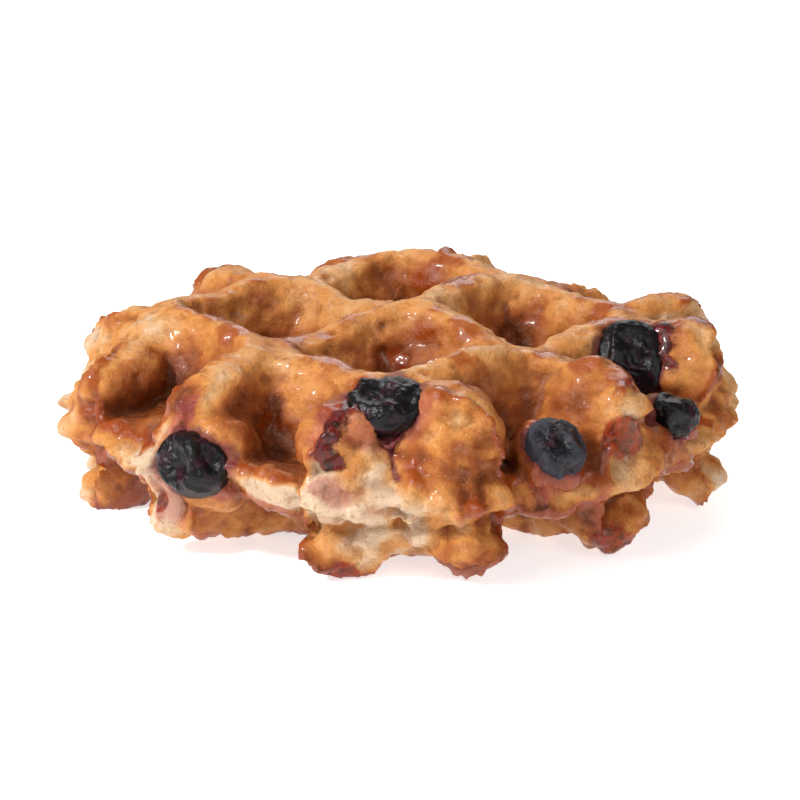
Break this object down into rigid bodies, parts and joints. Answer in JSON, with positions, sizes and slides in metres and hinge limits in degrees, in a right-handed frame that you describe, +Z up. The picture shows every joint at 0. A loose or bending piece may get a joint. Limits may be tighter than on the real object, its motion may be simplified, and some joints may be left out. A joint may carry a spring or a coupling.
{
  "type": "liege waffle",
  "caption": "Round thick Liege waffle: a deep square grid of pockets on both faces, knuckled pale rib ends round a craggy edge, browned ribs, and dark berries baked in.",
  "frame": {"origin": "on the table, under the middle of the waffle's grid", "axes": "+Z up out of the top face; the ribs of the grid run along X and Y"},
  "size_m": [0.0911, 0.0932, 0.0282],
  "materials": {
    "dough": "baked dough: pale and matt at the torn edge, porous and tan in the pockets, caramelised and glossy on the ribs",
    "berry_skin": "baked berry skin: blue-black, wrinkled, half glossy with a dusty bloom"
  },
  "bodies": {
    "root": {"waffle": "dough", "berry_front_left": "berry_skin", "berry_front_middle": "berry_skin", "berry_front_right": "berry_skin", "berry_right_pocket": "berry_skin", "berry_right_edge": "berry_skin", "berry_back_edge": "berry_skin", "berry_back_pocket": "berry_skin", "berry_left_edge": "berry_skin"}
  },
  "joints": []
}
